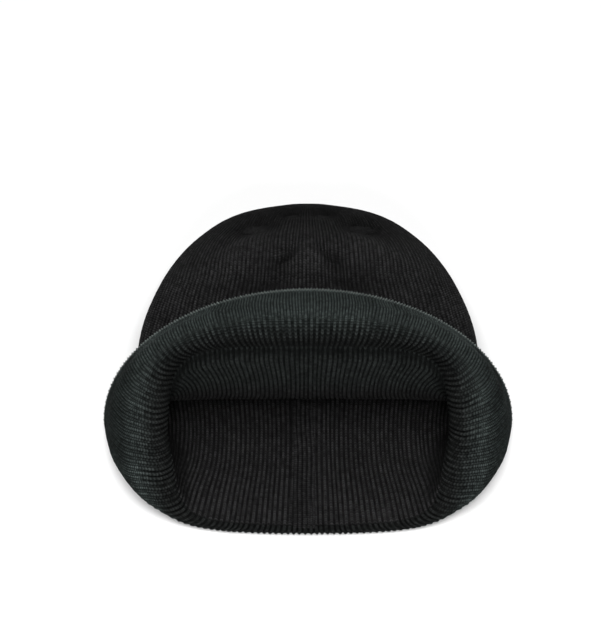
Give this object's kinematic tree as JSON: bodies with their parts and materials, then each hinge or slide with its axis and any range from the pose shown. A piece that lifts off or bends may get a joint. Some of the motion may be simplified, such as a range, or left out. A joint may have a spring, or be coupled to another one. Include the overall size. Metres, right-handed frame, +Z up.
{
  "type": "knit hat",
  "caption": "Dark rib-knit beanie with a turned-up, flared cuff, lying on its back with its mouth propped open and its crown softly collapsed.",
  "frame": {"origin": "on the surface that the hat lies on, under the middle of its footprint", "axes": "+Z up out of that surface, +Y from the mouth towards the closed crown end, +X across the hat's width"},
  "size_m": [0.2328, 0.2182, 0.0961],
  "materials": {
    "body_knit": "black 1x1 rib knit, matt with a little fuzz",
    "cuff_knit": "charcoal 1x1 rib knit, stretched and slightly paler with a green-grey cast",
    "seam_knit": "black overlocked seam allowance in the same knit"
  },
  "bodies": {
    "root": {"crown": "body_knit", "cuff": "cuff_knit", "back_seam": "seam_knit"}
  },
  "joints": []
}
